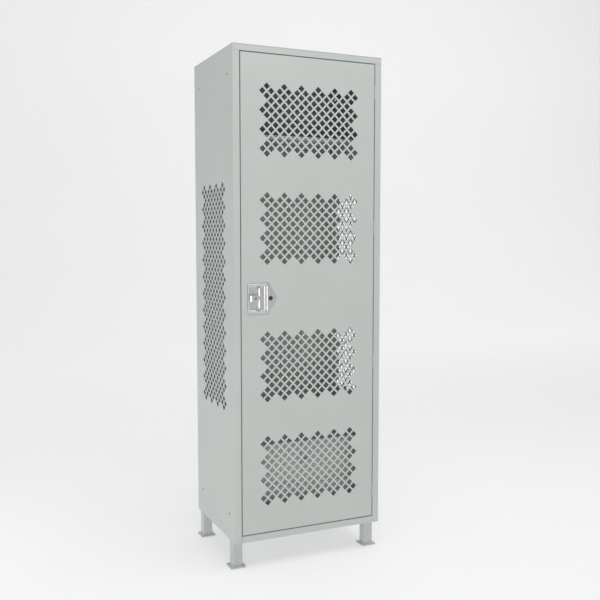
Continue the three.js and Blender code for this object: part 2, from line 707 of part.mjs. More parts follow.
function lockCup() {
  const outline = roundedPolygon([
    [cupLeft, doorMiddle - CUP_HALF, 0],
    [cupLeft + CUP_SHOULDER, doorMiddle - CUP_HALF, CUP_CORNER_R],
    [cupLeft + CUP_LENGTH, doorMiddle, CUP_CORNER_R],
    [cupLeft + CUP_SHOULDER, doorMiddle + CUP_HALF, CUP_CORNER_R],
    [cupLeft, doorMiddle + CUP_HALF, 0],
  ]);
  const shell = join(
    alongY(outline, plateFace, -SEAM),
    lockRim(),
    pocketBlock(CUP_SHEET, plateFace, pocketDepth + POCKET_FLOOR),
  );
  const stemSlot = box(
    stemX - CUP_SHEET,
    stemX + STEM_WIDTH + CUP_SHEET,
    0,
    DOOR_DEPTH,
    doorMiddle - STEM_HALF - CUP_SHEET,
    doorMiddle + STEM_HALF + LIFT_TRAVEL + CUP_SHEET,
  );
  const plugHole = alongY(circle(plugX, doorMiddle, PLUG_HOLE_R + SEAM), -DOOR_DEPTH, DOOR_DEPTH);
  const besideRim = box(cupLeft, pocketLeft, -DOOR_DEPTH, plateFace, 0, HEIGHT);
  return cut(shell, pocketBlock(0, -DOOR_DEPTH, pocketDepth), besideRim, stemSlot, plugHole);
}
part("lock_cup", lockCup(), stainless);

// Plug in the hole for a built-in lock: a button head on a shank.
const plugProfile = [
  [0, 0],
  [PLUG_HOLE_R, 0],
  [PLUG_HOLE_R, DOOR_SHEET + SEAM + CUP_SHEET],
  [PLUG_R, DOOR_SHEET + SEAM + CUP_SHEET + SEAM],
  [PLUG_R, DOOR_SHEET + SEAM + CUP_SHEET + RIM_HEIGHT / 2],
  [0, DOOR_SHEET + SEAM + CUP_SHEET + RIM_HEIGHT],
];
const plugShape = new THREE.LatheGeometry(points(plugProfile), 2 * CIRCLE_SEGMENTS);
const plug = part("lock_hole_plug", plugShape, blackPlastic);
plug.rotation.x = Math.PI;
plug.position.set(plugX, DOOR_SHEET, doorMiddle);

// The hole for the padlock's shackle, in the middle of the handle's ear.
function padlockEye(grow) {
  const right = handleX - (EAR_LENGTH - EYE_LENGTH) / 2;
  return rectangle(
    right - EYE_LENGTH - grow,
    doorMiddle - EYE_HALF - grow,
    right + grow,
    doorMiddle + EYE_HALF + grow,
  );
}

// ---- Padlock staple: an oblong eye on a foot in the pocket ----
function padlockStaple() {
  const left = cupLeft + STAPLE_START;
  const right = left + STAPLE_LENGTH;
  const eye = roundedPolygon([
    [left, doorMiddle - STAPLE_HALF, STAPLE_END_R],
    [right, doorMiddle - STAPLE_HALF, STAPLE_CORNER_R],
    [right, doorMiddle + STAPLE_HALF, STAPLE_CORNER_R],
    [left, doorMiddle + STAPLE_HALF, STAPLE_END_R],
  ]);
  eye.holes.push(padlockEye(EYE_EASE));
  const front = HANDLE_DEPTH - SEAM - STAPLE_SHEET;
  const foot = box(
    left + JOIN,
    left + STAPLE_FOOT,
    front + STAPLE_SHEET / 2,
    pocketDepth - SEAM,
    doorMiddle - EAR_HALF,
    doorMiddle + EAR_HALF,
  );
  return join(alongY(eye, front, front + STAPLE_SHEET), foot);
}
part("padlock_staple", padlockStaple(), stainless);

// ---- Lift handle: finger plate, padlock ear and a stem through the pocket's floor ----
function liftHandle() {
  const back = HANDLE_DEPTH + HANDLE_SHEET;
  const plate = rectangle(
    handleX,
    doorMiddle - HANDLE_HALF,
    handleX + HANDLE_WIDTH,
    doorMiddle + HANDLE_HALF,
  );
  const ear = rectangle(handleX - EAR_LENGTH, doorMiddle - EAR_HALF, handleX + JOIN, doorMiddle + EAR_HALF);
  ear.holes.push(padlockEye(0));
  const stem = box(
    stemX,
    stemX + STEM_WIDTH,
    back - JOIN,
    barDepth - SEAM,
    doorMiddle - STEM_HALF,
    doorMiddle + STEM_HALF,
  );
  return join(alongY(plate, HANDLE_DEPTH, back), alongY(ear, HANDLE_DEPTH, back), stem);
}
part("lift_handle", liftHandle(), stainless);

// ---- Latch bar: a flat bar with an arm to the handle, and a finger above each keeper ----
function latchBar() {
  const barRight = barX + BAR_WIDTH;
  const armRight = handleX + HANDLE_WIDTH;
  const armLow = doorMiddle - BAR_ARM_HALF;
  const armHigh = doorMiddle + BAR_ARM_HALF;
  return join(
    box(barX, barRight, barDepth, barBack, doorBottom + BAR_END, doorTop - BAR_END),
    box(barX + JOIN, armRight, barDepth, barBack, armLow, armHigh),
  );
}
part("latch_bar", latchBar(), zinc);

const fingerBack = barDepth - SEAM;
const fingerFront = fingerBack - FINGER_SHEET;
keeperHeights.forEach((z, i) => {
  const low = z + FINGER_CLEARANCE;
  const finger = box(keeperX, barX + BAR_WIDTH, fingerFront, fingerBack, low, low + FINGER_HEIGHT);
  part(`latch_finger_${i + 1}`, finger, zinc);
});

// ---- Guides that hold the bar against the door ----
const guideHeights = [doorBottom + GUIDE_END, doorMiddle - GUIDE_LOCK_DROP, doorTop - GUIDE_END];
guideHeights.forEach((z, i) => {
  const windowLeft = barX - GUIDE_CLEARANCE;
  const windowRight = barX + BAR_WIDTH + GUIDE_CLEARANCE;
  const block = rectangle(
    windowLeft - GUIDE_WALL,
    DOOR_SHEET + SEAM,
    windowRight + GUIDE_WALL,
    DOOR_DEPTH - SHEET - SEAM,
  );
  const windowBack = barBack + GUIDE_CLEARANCE;
  block.holes.push(rectangle(windowLeft, barDepth - GUIDE_CLEARANCE, windowRight, windowBack));
  part(`latch_guide_${i + 1}`, alongZ(block, z - GUIDE_HEIGHT / 2, z + GUIDE_HEIGHT / 2), zinc);
});

// ---- Keepers on the left strike ----
keeperHeights.forEach((z, i) => {
  const plateBack = strikeDepth - SEAM;
  const plateFront = plateBack - KEEPER_SHEET;
  const armRight = keeperX + KEEPER_ARM_WIDTH;
  const plate = box(POST_FACE + SHEET, strikeInner, plateFront, plateBack, z - KEEPER_PLATE, z);
  const arm = box(keeperX, armRight, KEEPER_REACH, plateBack, z - KEEPER_ARM_HEIGHT, z);
  part(`latch_keeper_${i + 1}`, join(plate, arm), zinc);
});

// ---- Rubber bumpers between the door and the strike ----
[doorBottom + BUMPER_END, doorTop - BUMPER_END].forEach((z, i) => {
  const x = POST_FACE + STRIKE_WIDTH / 2 + SHEET;
  const bumper = alongY(circle(x, z, BUMPER_R), DOOR_DEPTH + SEAM, strikeDepth - SEAM);
  part(`door_bumper_${i + 1}`, bumper, rubber);
});

export default locker;
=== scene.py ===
import math

import bmesh
import bpy
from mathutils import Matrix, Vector
from mathutils.geometry import delaunay_2d_cdt


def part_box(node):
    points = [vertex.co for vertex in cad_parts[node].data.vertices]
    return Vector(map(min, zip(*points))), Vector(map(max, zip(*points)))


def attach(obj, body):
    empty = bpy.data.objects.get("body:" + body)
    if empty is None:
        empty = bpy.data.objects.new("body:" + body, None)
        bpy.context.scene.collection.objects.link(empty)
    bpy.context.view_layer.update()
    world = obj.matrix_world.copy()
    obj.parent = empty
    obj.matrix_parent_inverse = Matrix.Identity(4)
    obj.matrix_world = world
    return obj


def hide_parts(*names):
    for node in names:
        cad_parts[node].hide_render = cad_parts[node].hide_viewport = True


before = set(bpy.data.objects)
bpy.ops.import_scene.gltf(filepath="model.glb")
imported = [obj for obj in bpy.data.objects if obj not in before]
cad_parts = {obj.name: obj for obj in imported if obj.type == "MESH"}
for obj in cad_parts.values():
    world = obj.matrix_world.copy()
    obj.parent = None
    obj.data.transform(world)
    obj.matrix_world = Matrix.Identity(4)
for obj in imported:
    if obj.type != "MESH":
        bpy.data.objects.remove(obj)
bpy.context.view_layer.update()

# ---- Sizes shared with the CAD part ----
SHEET = 0.0015
SEAM = 0.0003
POST_FACE = 0.0266
TOP_RAIL_FACE = 0.0242
BOTTOM_RAIL_FACE = 0.0254
STRIKE_WIDTH = 0.0134
STRIKE_DEPTH = 0.0225
FRAME_FLANGE = 0.030
DOOR_SHEET = 0.002
DOOR_LIP = 0.022
PUNCH_SHARE = 0.735
DOOR_STEP = 0.0173
DOOR_FIELD_MARGIN = 0.0705
DOOR_END_BAND = 0.1015
DOOR_MID_BAND = 0.1258
DOOR_LOCK_BAND = 0.2446
SIDE_STEP_Y = 0.01827
SIDE_STEP_Z = 0.01679
SIDE_MARGIN_Y = 0.0864
SIDE_MARGIN_Z = 0.4815
BOLT_HOLE_R = 0.0045
BOLT_HOLE_END = 0.100
BOLT_HOLE_FRONT = 0.060
BOLT_HOLE_BACK = 0.066
POCKET_START = 0.004
POCKET_LENGTH = 0.073
POCKET_HALF = 0.047
PLUG_AT = 0.092
CUP_SHOULDER = 0.084
CUP_SHEET = 0.0015
POCKET_SHEET = 0.0012
GROOVE_TOP = 0.198
GROOVE_HEIGHT = 0.014
GROOVE_DEPTH = 0.006
KNUCKLES = 5
KNUCKLE_GAP = 0.0003
KNUCKLE_R = 0.003
PIN_R = 0.00145

# ---- Finish ----
BEND = 0.0021  # outer radius of the sheets' folds
EASE = 0.0003  # cut edges
PUNCH_EASE = 0.0002
ROUND_STEPS = 6  # steps in a fold's quarter turn
LATHE_STEPS = 28
SMOOTH_UNDER = math.radians(35)
EASE_OVER = math.radians(40)
SAME_POINT = 1e-6
PAINT_DARK = (0.50, 0.533, 0.512)
PAINT_LIGHT = (0.53, 0.563, 0.542)
PAPER_DARK = (0.60, 0.60, 0.60)
PAPER_LIGHT = (0.62, 0.62, 0.62)
PAPER_GLOW = 0.40

# ---- Places from the frame ----
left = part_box("left_side_panel")[0].x
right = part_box("right_side_panel")[1].x
front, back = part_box("top_panel")[0].y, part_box("top_panel")[1].y
bottom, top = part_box("left_side_panel")[0].z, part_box("top_panel")[1].z
door_lo, door_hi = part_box("door_pan")
door_middle = (door_lo.z + door_hi.z) / 2
door_depth = door_hi.y - front
cup_lo, cup_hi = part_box("lock_cup")
plate_front = front - SEAM - CUP_SHEET
pocket_left = cup_lo.x + POCKET_START
pocket_right = pocket_left + POCKET_LENGTH
pocket_floor = cup_hi.y - POCKET_SHEET


# ---- Flat outlines ----
def left_of(direction):
    return Vector((-direction.y, direction.x))


def rectangle(u0, v0, u1, v1):
    return [Vector(p) for p in ((u0, v0), (u1, v0), (u1, v1), (u0, v1))]


def circle(u, v, radius, steps=24):
    turns = [2 * math.pi * k / steps for k in range(steps)]
    return [Vector((u + radius * math.cos(t), v + radius * math.sin(t))) for t in turns]


def arc_corner(before, at, after, radius, steps=ROUND_STEPS):
    """The points of an arc that rounds the corner `at`."""
    a = (at - before).normalized()
    b = (after - at).normalized()
    turn = math.atan2(a.x * b.y - a.y * b.x, a.dot(b))
    if radius <= 0 or abs(turn) < 1e-6:
        return [at]
    side = math.copysign(1, turn)
    middle = at - a * radius * math.tan(abs(turn) / 2) + left_of(a) * radius * side
    spoke = left_of(a) * -radius * side
    points = []
    for k in range(steps + 1):
        angle = turn * k / steps
        c, s = math.cos(angle), math.sin(angle)
        points.append(middle + Vector((c * spoke.x - s * spoke.y, s * spoke.x + c * spoke.y)))
    return points


def rounded(corners, steps=ROUND_STEPS):
    """A closed outline from (u, v, radius) corners."""
    ends = [Vector(c[:2]) for c in corners]
    points = []
    for i, (u, v, radius) in enumerate(corners):
        after = ends[(i + 1) % len(ends)]
        points += arc_corner(ends[i - 1], Vector((u, v)), after, radius, steps)
    return points


def rounded_rectangle(u0, v0, u1, v1, radius):
    return rounded([(u0, v0, radius), (u1, v0, radius), (u1, v1, radius), (u0, v1, radius)])


def offset(loop, distance):
    """A closed outline moved outwards all round, with mitred corners."""
    area = sum(loop[i - 1].x * p.y - loop[i - 1].y * p.x for i, p in enumerate(loop))
    outward = -distance * math.copysign(1, area)
    moved = []
    for i, p in enumerate(loop):
        first = left_of((p - loop[i - 1]).normalized())
        second = left_of((loop[(i + 1) % len(loop)] - p).normalized())
        moved.append(p + (first + second) * (outward / (1 + first.dot(second))))
    return moved


def sideways(line):
    """For each point of an open line, the mitred step that leads one unit to the line's left."""
    steps = []
    for i, p in enumerate(line):
        first = left_of((line[max(i, 1)] - line[max(i, 1) - 1]).normalized())
        second = left_of((line[i + 1] - p).normalized()) if i < len(line) - 1 else first
        steps.append((first + second) / (1 + first.dot(second)))
    return steps


def folded(line, thickness=SHEET, bend=BEND):
    """The section of a folded sheet. `line` is its outer face, with the sheet to the left of it."""
    half = thickness / 2
    line = [Vector(p) for p in line]
    middle = [p + step * half for p, step in zip(line, sideways(line))]
    centre = [middle[0]]
    for i in range(1, len(middle) - 1):
        centre += arc_corner(middle[i - 1], middle[i], middle[i + 1], bend - half)
    centre.append(middle[-1])
    centre = [p for i, p in enumerate(centre) if i == 0 or (p - centre[i - 1]).length > SAME_POINT]
    steps = sideways(centre)
    outer = [p - step * half for p, step in zip(centre, steps)]
    inner = [p + step * half for p, step in zip(centre, steps)]
    return outer + inner[::-1]


def quarter_turn(radius, steps):
    """Pairs along a quarter of a circle: how far it has left one side, and is still from the other."""
    angles = [math.pi / 2 * k / steps for k in range(steps + 1)]
    return [(radius * (1 - math.cos(a)), radius * (1 - math.sin(a))) for a in angles]


# ---- Solids, as (vertices, faces) ----
def in_space(axis, p, depth):
    """A flat point, with its depth along the axis that the outline doesn't hold."""
    if axis == "x":
        return Vector((depth, p.x, p.y))
    if axis == "y":
        return Vector((p.x, depth, p.y))
    return Vector((p.x, p.y, depth))


def loft(loops, ring=False):
    """Skins closed loops that have the same number of points. Its ends are capped unless it's a ring."""
    count = len(loops[0])
    faces = []
    for i in range(len(loops) if ring else len(loops) - 1):
        a, b = i * count, (i + 1) % len(loops) * count
        for k in range(count):
            n = (k + 1) % count
            faces.append((a + k, a + n, b + n, b + k))
    if not ring:
        faces.append(tuple(range(count)))
        faces.append(tuple(range((len(loops) - 1) * count, len(loops) * count)))
    return [p for loop in loops for p in loop], faces


def stack(axis, levels, ring=False):
    """A loft of flat outlines, each given with its depth."""
    return loft([[in_space(axis, p, depth) for p in outline] for outline, depth in levels], ring)


def extrude(axis, outline, start, end):
    return stack(axis, [(outline, start), (outline, end)])


def cushion(axis, outline, start, end, ease):
    """An extrusion with both ends' edges rounded."""
    levels = [(offset(outline, -rest), start + gone) for gone, rest in quarter_turn(ease, 3)]
    levels += [(shape, start + end - depth) for shape, depth in levels[::-1]]
    return stack(axis, levels)


def lathe(axis, centre, profile, ring=False):
    """Turns (radius, depth) points round a line along the axis through a flat centre."""
    return stack(axis, [(circle(*centre, radius, LATHE_STEPS), depth) for radius, depth in profile], ring)


def punched(axis, outline, holes, start, end, ease=PUNCH_EASE, outline_ease=0.0):
    """A flat sheet with holes. The holes' edges are eased, and so are the outline's if asked."""
    loops = [outline, *holes]
    rings = []
    for loop in loops:
        first = len(rings[-1]) + rings[-1][0] if rings else 0
        rings.append(list(range(first, first + len(loop))))
    flat = [p for loop in loops for p in loop]
    found = delaunay_2d_cdt(flat, [], rings, 2, 1e-7)
    source = [ids[0] for ids in found[3]]
    wide = offset(outline, -outline_ease) if outline_ease else list(outline)
    for hole in holes:
        wide += offset(hole, ease)
    edge = max(ease, outline_ease)
    vertices, faces = [], []
    for points, depth in ((wide, start), (flat, start + edge), (flat, end - edge), (wide, end)):
        vertices += [in_space(axis, p, depth) for p in points]
    for level in (0, 3):
        faces += [tuple(source[v] + level * len(flat) for v in face) for face in found[2]]
    for level in range(3):
        a, b = level * len(flat), (level + 1) * len(flat)
        for ring in rings:
            for k, n in zip(ring, ring[1:] + ring[:1]):
                faces.append((a + k, a + n, b + n, b + k))
    return vertices, faces


def block(x0, x1, y0, y1, z0, z1):
    return extrude("z", rectangle(x0, y0, x1, y1), z0, z1)


def mirrored(solid):
    """The solid on the other side of the locker."""
    vertices, faces = solid
    return [Vector((left + right - p.x, p.y, p.z)) for p in vertices], faces


def unchanged(solid):
    return solid


SIDES = (("left", unchanged), ("right", mirrored))


def moved(solid, at):
    vertices, faces = solid
    return [at + p for p in vertices], faces


def laid_along_x(solid):
    """The solid turned so that its z lies along x."""
    vertices, faces = solid
    return [Vector((p.z, p.y, -p.x)) for p in vertices], faces


# ---- Objects ----
def piece(name, solids, slot, body, replaces=(), ease=EASE):
    """One object from several solids, riding on a body in place of CAD nodes."""
    mesh = bpy.data.meshes.new(name)
    vertices, faces = [], []
    for solid_vertices, solid_faces in solids:
        faces += [tuple(v + len(vertices) for v in face) for face in solid_faces]
        vertices += solid_vertices
    mesh.from_pydata(vertices, [], faces)
    work = bmesh.new()
    work.from_mesh(mesh)
    bmesh.ops.recalc_face_normals(work, faces=work.faces)
    work.to_mesh(mesh)
    work.free()
    mesh.polygons.foreach_set("use_smooth", [True] * len(mesh.polygons))
    mesh.set_sharp_from_angle(angle=SMOOTH_UNDER)
    obj = bpy.data.objects.new(name, mesh)
    bpy.context.scene.collection.objects.link(obj)
    dress(obj, slot, ease)
    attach(obj, body)
    if replaces:
        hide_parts(*replaces)
    return obj


def dress(obj, slot, ease=EASE):
    """Gives an object its material slot and finish, and rounds its sharp edges."""
    obj.data.materials.clear()
    obj.data.materials.append(finishes[slot])
    if ease:
        edges = obj.modifiers.new("eased_edges", "BEVEL")
        edges.width = ease
        edges.segments = 2
        edges.limit_method = "ANGLE"
        edges.angle_limit = EASE_OVER
        edges.harden_normals = True
    shading = obj.modifiers.new("even_shading", "WEIGHTED_NORMAL")
    shading.keep_sharp = True


def carve(obj, solids):
    """Cuts solids out of an object for good, before its edges are rounded."""
    cutter = piece("cutter", solids, "grey_paint", "cabinet", ease=0)
    tool = obj.modifiers.new("carve", "BOOLEAN")
    tool.object = cutter
    tool.solver = "EXACT"
    bpy.context.view_layer.objects.active = obj
    bpy.ops.object.modifier_move_to_index(modifier=tool.name, index=0)
    bpy.ops.object.modifier_apply(modifier=tool.name)
    bpy.data.objects.remove(cutter)


# ---- Materials ----
class Nodes:
    """A material's node tree, with short calls to add to it."""

    def __init__(self, name, **values):
        self.material = bpy.data.materials.new(name)
        self.material.use_nodes = True
        self.tree = self.material.node_tree
        self.shader = self.tree.nodes["Principled BSDF"]
        for socket, value in values.items():
            self.shader.inputs[socket.replace("_", " ")].default_value = value
        place = self.add("ShaderNodeTexCoord")
        self.place = place.outputs["Object"]

    def add(self, kind, **values):
        node = self.tree.nodes.new(kind)
        for key, value in values.items():
            setattr(node, key, value)
        return node

    def link(self, output, node_input):
        self.tree.links.new(output, node_input)

    def stretched(self, scale):
        """The place on the object, squeezed along its axes, to draw grain."""
        mapping = self.add("ShaderNodeMapping")
        mapping.inputs["Scale"].default_value = scale
        self.link(self.place, mapping.inputs["Vector"])
        return mapping.outputs["Vector"]

    def noise(self, scale, detail=2.0, where=None):
        node = self.add("ShaderNodeTexNoise")
        node.inputs["Scale"].default_value = scale
        node.inputs["Detail"].default_value = detail
        node.inputs["Roughness"].default_value = 0.5
        self.link(where or self.place, node.inputs["Vector"])
        return node.outputs["Fac"]

    def spread(self, factor, low, high):
        """Maps a noise's middle range between two values."""
        node = self.add("ShaderNodeMapRange")
        node.inputs["From Min"].default_value = 0.3
        node.inputs["From Max"].default_value = 0.7
        node.inputs["To Min"].default_value = low
        node.inputs["To Max"].default_value = high
        self.link(factor, node.inputs["Value"])
        return node.outputs["Result"]

    def tint(self, factor, first, second):
        """A colour between two, by a factor."""
        node = self.add("ShaderNodeMix", data_type="RGBA")
        node.inputs["A"].default_value = (*first, 1)
        node.inputs["B"].default_value = (*second, 1)
        self.link(factor, node.inputs["Factor"])
        return node.outputs["Result"]

    def bump(self, height, distance, strength=1.0, before=None):
        node = self.add("ShaderNodeBump")
        node.inputs["Strength"].default_value = strength
        node.inputs["Distance"].default_value = distance
        self.link(height, node.inputs["Height"])
        if before:
            self.link(before, node.inputs["Normal"])
        return node.outputs["Normal"]

    def finish(self, colour, roughness, normal):
        self.link(colour, self.shader.inputs["Base Color"])
        self.link(roughness, self.shader.inputs["Roughness"])
        self.link(normal, self.shader.inputs["Normal"])
        return self.material


def painted_steel():
    """Satin grey powder coat: slight orange peel over slightly wavy sheet."""
    nodes = Nodes("powder_coat", Metallic=0.0)
    nodes.shader.inputs["Specular IOR Level"].default_value = 0.5
    patch = nodes.noise(5.0, detail=3.0)
    speck = nodes.noise(900.0, detail=2.0)
    blend = nodes.add("ShaderNodeMath", operation="ADD")
    nodes.link(nodes.spread(patch, 0.0, 0.75), blend.inputs[0])
    nodes.link(nodes.spread(speck, 0.0, 0.25), blend.inputs[1])
    colour = nodes.tint(blend.outputs["Value"], PAINT_DARK, PAINT_LIGHT)
    roughness = nodes.spread(nodes.noise(220.0), 0.36, 0.46)
    waves = nodes.bump(nodes.noise(7.0, detail=0.0), 0.0006, 0.4)
    peel = nodes.bump(nodes.noise(520.0, detail=1.0), 0.00003, 0.5, waves)
    return nodes.finish(colour, roughness, peel)


def brushed_steel(dark, light, rough, grain, patch_scale):
    """Bare metal with a fine grain along `grain`, the axis left unsqueezed."""
    nodes = Nodes("brushed_metal", Metallic=1.0)
    scale = [1.0 if axis == grain else 26.0 for axis in "xyz"]
    streak = nodes.noise(110.0, detail=3.0, where=nodes.stretched(scale))
    patch = nodes.noise(patch_scale, detail=2.0)
    blend = nodes.add("ShaderNodeMath", operation="ADD")
    nodes.link(nodes.spread(streak, 0.0, 0.5), blend.inputs[0])
    nodes.link(nodes.spread(patch, 0.0, 0.5), blend.inputs[1])
    colour = nodes.tint(blend.outputs["Value"], dark, light)
    roughness = nodes.spread(streak, rough - 0.06, rough + 0.06)
    return nodes.finish(colour, roughness, nodes.bump(streak, 0.00002, 0.4))


def moulded(dark, light, rough, texture_scale):
    """Fine-textured plastic or rubber."""
    nodes = Nodes("moulded", Metallic=0.0)
    texture = nodes.noise(texture_scale, detail=3.0)
    colour = nodes.tint(nodes.noise(60.0), dark, light)
    roughness = nodes.spread(texture, rough - 0.08, rough + 0.08)
    return nodes.finish(colour, roughness, nodes.bump(texture, 0.00006, 0.5))


def studio_paper():
    nodes = Nodes("studio_paper", Metallic=0.0)
    nodes.shader.inputs["Specular IOR Level"].default_value = 0.1
    nodes.shader.inputs["Emission Color"].default_value = (1.0, 1.0, 1.0, 1)
    nodes.shader.inputs["Emission Strength"].default_value = PAPER_GLOW
    colour = nodes.tint(nodes.noise(0.8), PAPER_DARK, PAPER_LIGHT)
    roughness = nodes.spread(nodes.noise(40.0), 0.85, 0.95)
    return nodes.finish(colour, roughness, nodes.bump(nodes.noise(300.0), 0.0001, 0.1))


finishes = {
    "grey_paint": painted_steel(),
    "stainless": brushed_steel((0.66, 0.665, 0.67), (0.74, 0.745, 0.75), 0.31, "z", 40.0),
    "zinc": brushed_steel((0.42, 0.43, 0.44), (0.58, 0.59, 0.60), 0.38, "z", 90.0),
    "black_plastic": moulded((0.02, 0.021, 0.021), (0.035, 0.036, 0.036), 0.5, 1500.0),
    "rubber": moulded((0.015, 0.015, 0.016), (0.03, 0.03, 0.032), 0.75, 900.0),
}
paper = studio_paper()


# ---- Perforations: clusters of four diamonds in staggered rows ----
def punches(u0, v0, u1, v1, step_u, step_v):
    """The small diamonds of one field, which fills the box from its middle."""
    half_u, half_v = step_u * PUNCH_SHARE, step_v * PUNCH_SHARE
    columns = last_step(u1 - u0, 2 * half_u, step_u)
    rows = last_step(v1 - v0, 2 * half_v, step_v)
    start_u = (u0 + u1 - columns * step_u) / 2
    start_v = (v0 + v1 - rows * step_v) / 2
    diamonds = []
    for row in range(1, rows, 2):
        for column in range(row % 4, columns, 4):
            for du, dv in ((-1, 0), (1, 0), (0, -1), (0, 1)):
                u = start_u + (column + du) * step_u
                v = start_v + (row + dv) * step_v
                corners = ((u - half_u, v), (u, v - half_v), (u + half_u, v), (u, v + half_v))
                diamonds.append([Vector(p) for p in corners])
    return diamonds


def last_step(room, tip, step):
    """How many steps a pattern that repeats every fourth step has in the room, tips included."""
    return 4 * math.floor(((room - tip) / step - 2) / 4) + 2


# ---- Cabinet shell ----
REAR_LAP = 0.0017  # the side's rear flange lies inside the back panel
REAR_FLANGE = 0.016
CORNER_FACE = 0.0029  # how far the side's folded corner reaches onto the front
TOP_ROUND = 0.0011  # the top sheet's upper edge
post_top = top - TOP_RAIL_FACE - SEAM
rail_low = top - TOP_RAIL_FACE
side_top = top - SHEET - SEAM


def side_sheet():
    outline = rectangle(front + BEND, bottom, back - REAR_LAP - BEND, side_top)
    field_top = top - SIDE_MARGIN_Z
    holes = punches(
        front + SIDE_MARGIN_Y,
        bottom + SIDE_MARGIN_Z,
        back - SIDE_MARGIN_Y,
        field_top,
        SIDE_STEP_Y,
        SIDE_STEP_Z,
    )
    for y in (front + BOLT_HOLE_FRONT, back - BOLT_HOLE_BACK):
        for z in (bottom + BOLT_HOLE_END, top - BOLT_HOLE_END):
            holes.append(circle(y, z, BOLT_HOLE_R))
    rear_face = back - REAR_LAP
    rear = folded([(left + REAR_FLANGE, rear_face), (left, rear_face), (left, rear_face - BEND)])
    return [
        punched("x", outline, holes, left, left + SHEET),
        extrude("z", rear, bottom, side_top),
    ]


def front_post():
    corner = [(left, front + BEND), (left, front)]
    strike = front + STRIKE_DEPTH - SEAM
    full = folded([*corner, (left + POST_FACE, front), (left + POST_FACE, strike)])
    narrow = folded([*corner, (left + CORNER_FACE, front)])
    return [extrude("z", full, bottom, post_top), extrude("z", narrow, post_top, side_top)]


for side, across in SIDES:
    solids = [across(s) for s in side_sheet()]
    piece(f"{side}_side_sheet", solids, "grey_paint", "cabinet", [f"{side}_side_panel"], ease=0)
    solids = [across(s) for s in front_post()]
    piece(f"{side}_post_folded", solids, "grey_paint", "cabinet", [f"{side}_frame_post"], ease=0)

plan = rounded_rectangle(left, front, right, back, BEND)
top_levels = [(plan, top - SHEET)]
for gone, rest in quarter_turn(TOP_ROUND, 5):
    top_levels.append((offset(plan, -gone), top - rest))
piece("top_sheet", [stack("z", top_levels)], "grey_paint", "cabinet", ["top_panel"], ease=0)

rail_left, rail_right = left + CORNER_FACE + SEAM / 2, right - CORNER_FACE - SEAM / 2
strike_y = front + STRIKE_DEPTH
strike_left = left + POST_FACE + STRIKE_WIDTH + SEAM
strike_right = right - POST_FACE - STRIKE_WIDTH - SEAM
top_rail = folded(
    [
        (front + FRAME_FLANGE, side_top),
        (front, side_top),
        (front, rail_low),
        (strike_y - SEAM, rail_low),
    ]
)
top_strike = block(
    strike_left,
    strike_right,
    strike_y,
    strike_y + SHEET,
    rail_low - STRIKE_WIDTH,
    rail_low + SHEET,
)
piece(
    "top_rail_folded",
    [extrude("x", top_rail, rail_left, rail_right), top_strike],
    "grey_paint",
    "cabinet",
    ["top_frame_rail"],
)
rail_high = bottom + BOTTOM_RAIL_FACE
bottom_rail = folded(
    [
        (strike_y - SEAM, rail_high),
        (front, rail_high),
        (front, bottom),
        (front + FRAME_FLANGE, bottom),
    ]
)
bottom_strike = block(
    strike_left,
    strike_right,
    strike_y,
    strike_y + SHEET,
    rail_high - SHEET,
    rail_high + STRIKE_WIDTH,
)
low_left, low_right = left + POST_FACE + SEAM, right - POST_FACE - SEAM
piece(
    "bottom_rail_folded",
    [extrude("x", bottom_rail, low_left, low_right), bottom_strike],
    "grey_paint",
    "cabinet",
    ["bottom_frame_rail"],
)


# ---- Legs: square tube, weld bead, floor plate ----
LEG_CORNER_R = 0.003
PLATE_CORNER_R = 0.004
WELD = 0.0028
PLATE_THICKNESS = 0.0048
PLATE_EASE = 0.0006
LEG_HALF = 0.01905


def leg(node):
    lo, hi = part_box(node)
    x, y = (lo.x + hi.x) / 2, (lo.y + hi.y) / 2
    plate_top = lo.z + PLATE_THICKNESS
    tube = rounded_rectangle(x - LEG_HALF, y - LEG_HALF, x + LEG_HALF, y + LEG_HALF, LEG_CORNER_R)
    levels = [(tube, hi.z), (tube, plate_top + WELD)]
    for gone, rest in quarter_turn(WELD, 3)[1:]:
        levels.append((offset(tube, gone), plate_top + rest))
    plate = rounded_rectangle(lo.x, lo.y, hi.x, hi.y, PLATE_CORNER_R)
    return [stack("z", levels), cushion("z", plate, lo.z, plate_top, PLATE_EASE)]


for place in ("front_left", "front_right", "rear_left", "rear_right"):
    name = f"leg_{place}"
    piece(f"{name}_welded", leg(name), "grey_paint", "cabinet", [name], ease=0)


# ---- Door ----
CUT_CORNER_R = 0.004  # of the opening for the lock's pocket
PLUG_HOLE_R = 0.0068
NOTCH_REACH = 0.0034
NOTCH_ROOM = 0.0004
SLOT_ROOM = 0.001
SLOT_WIDTH = 0.005
SLOT_FRONT, SLOT_BACK = 0.012, 0.030
SLOT_BELOW, SLOT_ABOVE = 0.012, 0.002


